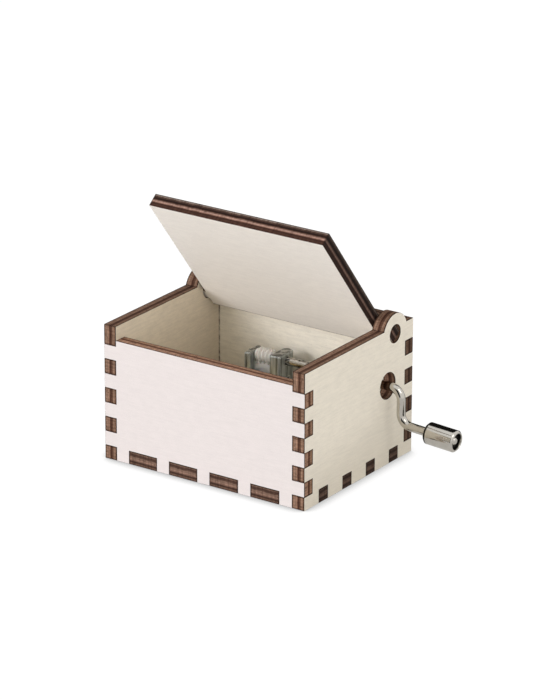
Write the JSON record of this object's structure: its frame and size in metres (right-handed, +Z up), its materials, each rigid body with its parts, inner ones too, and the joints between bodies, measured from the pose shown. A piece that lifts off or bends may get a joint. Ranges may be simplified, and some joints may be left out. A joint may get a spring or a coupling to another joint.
{
  "type": "hand-cranked music box",
  "caption": "Small plywood music box with finger-jointed walls, a hinged lid and a side crank whose worm turns a bumped brass cylinder against a steel comb.",
  "frame": {"origin": "centre of the box's footprint on its underside", "axes": "+Z up, the front faces -Y, the crank comes out of the +X side"},
  "size_m": [0.086, 0.051, 0.0703],
  "materials": {
    "plywood": "bare laser-cut birch plywood with burnt edges",
    "polished_nickel": "polished nickel plate",
    "zinc_casting": "die-cast zinc, as cast",
    "white_nylon": "moulded natural nylon",
    "brass": "rolled brass sheet",
    "spring_steel": "ground spring steel",
    "lead": "soldered lead",
    "screw_steel": "zinc-plated screws"
  },
  "bodies": {
    "case": {"bottom_panel": "plywood", "front_panel": "plywood", "back_panel": "plywood", "left_panel": "plywood", "right_panel": "plywood", "bedplate": "zinc_casting", "comb": "spring_steel", "comb_weights": "lead", "comb_screws": "screw_steel", "base_screws": "screw_steel"},
    "lid": {"lid_panel": "plywood"},
    "crank": {"crank_wire": "polished_nickel", "worm": "white_nylon", "knob_stop_ring": "polished_nickel", "knob_washer": "polished_nickel"},
    "knob": {"crank_knob": "polished_nickel"},
    "cylinder": {"cylinder_drum": "brass", "drum_front_cap": "brass", "drum_rear_cap": "brass", "cylinder_arbor": "spring_steel", "arbor_clip": "spring_steel", "worm_wheel": "white_nylon"}
  },
  "joints": [
    {"name": "lid_hinge", "type": "hinge", "parent": "case", "child": "lid", "pos_m": [0, 0.0168, 0.0361], "axis": [-1, 0, 0], "range_deg": [-51.3, 83]},
    {"name": "crank_turn", "type": "hinge", "parent": "case", "child": "crank", "pos_m": [0, 0.0135, 0.0224], "axis": [1, 0, 0], "continuous": true},
    {"name": "cylinder_turn", "type": "hinge", "parent": "case", "child": "cylinder", "pos_m": [-0.0068, 0, 0.0135], "axis": [0, 1, 0], "continuous": true},
    {"name": "knob_spin", "type": "hinge", "parent": "crank", "child": "knob", "pos_m": [0.04469, 0.0135, 0.01208], "axis": [0.9981, 0, -0.061], "continuous": true}
  ],
  "couplings": [
    {"joint": "cylinder_turn", "follows": "crank_turn", "ratio": -0.027778}
  ]
}
